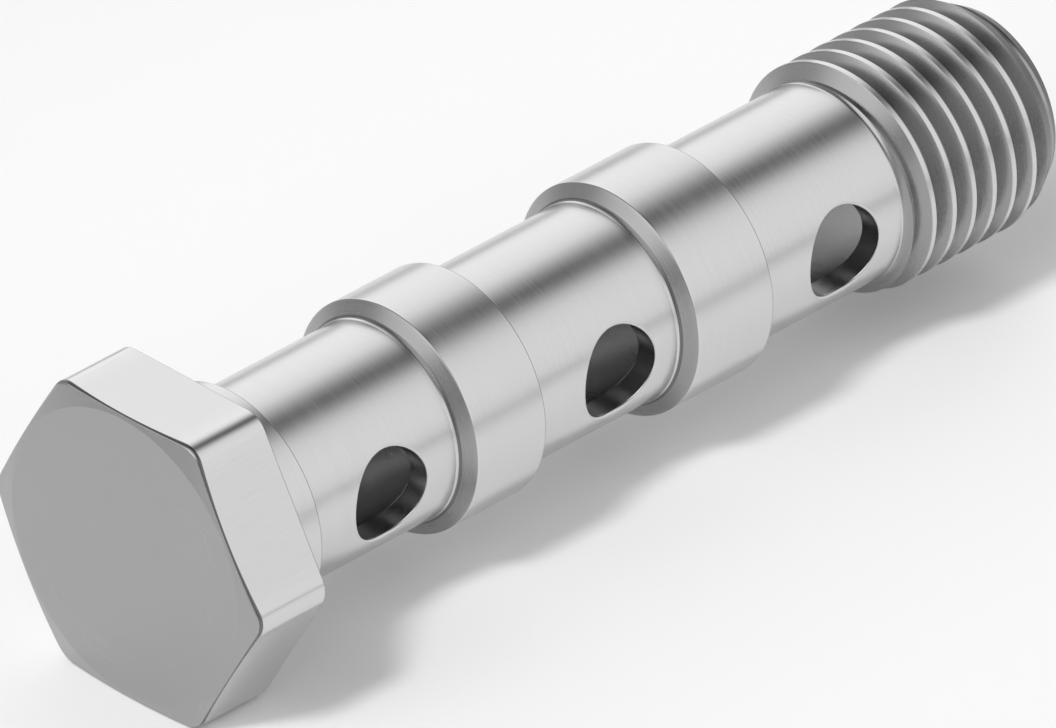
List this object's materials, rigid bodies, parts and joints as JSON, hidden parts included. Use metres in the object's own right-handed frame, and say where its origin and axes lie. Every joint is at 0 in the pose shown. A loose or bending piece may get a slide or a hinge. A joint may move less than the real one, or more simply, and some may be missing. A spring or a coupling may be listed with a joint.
{
  "type": "banjo bolt",
  "caption": "Long hollow hexagon bolt with drilled waists between round collars and a pipe thread, for stacking banjo fittings.",
  "frame": {"origin": "on the bolt's axis in the plane of the head's bearing face", "axes": "+X along the axis from the head to the thread's end, +Z square to the head's upper flat, so the bolt lies on its lower flat"},
  "size_m": [0.0629, 0.0192, 0.017],
  "materials": {
    "steel": "satin"
  },
  "bodies": {
    "root": {"banjo_bolt": "steel"}
  },
  "joints": []
}
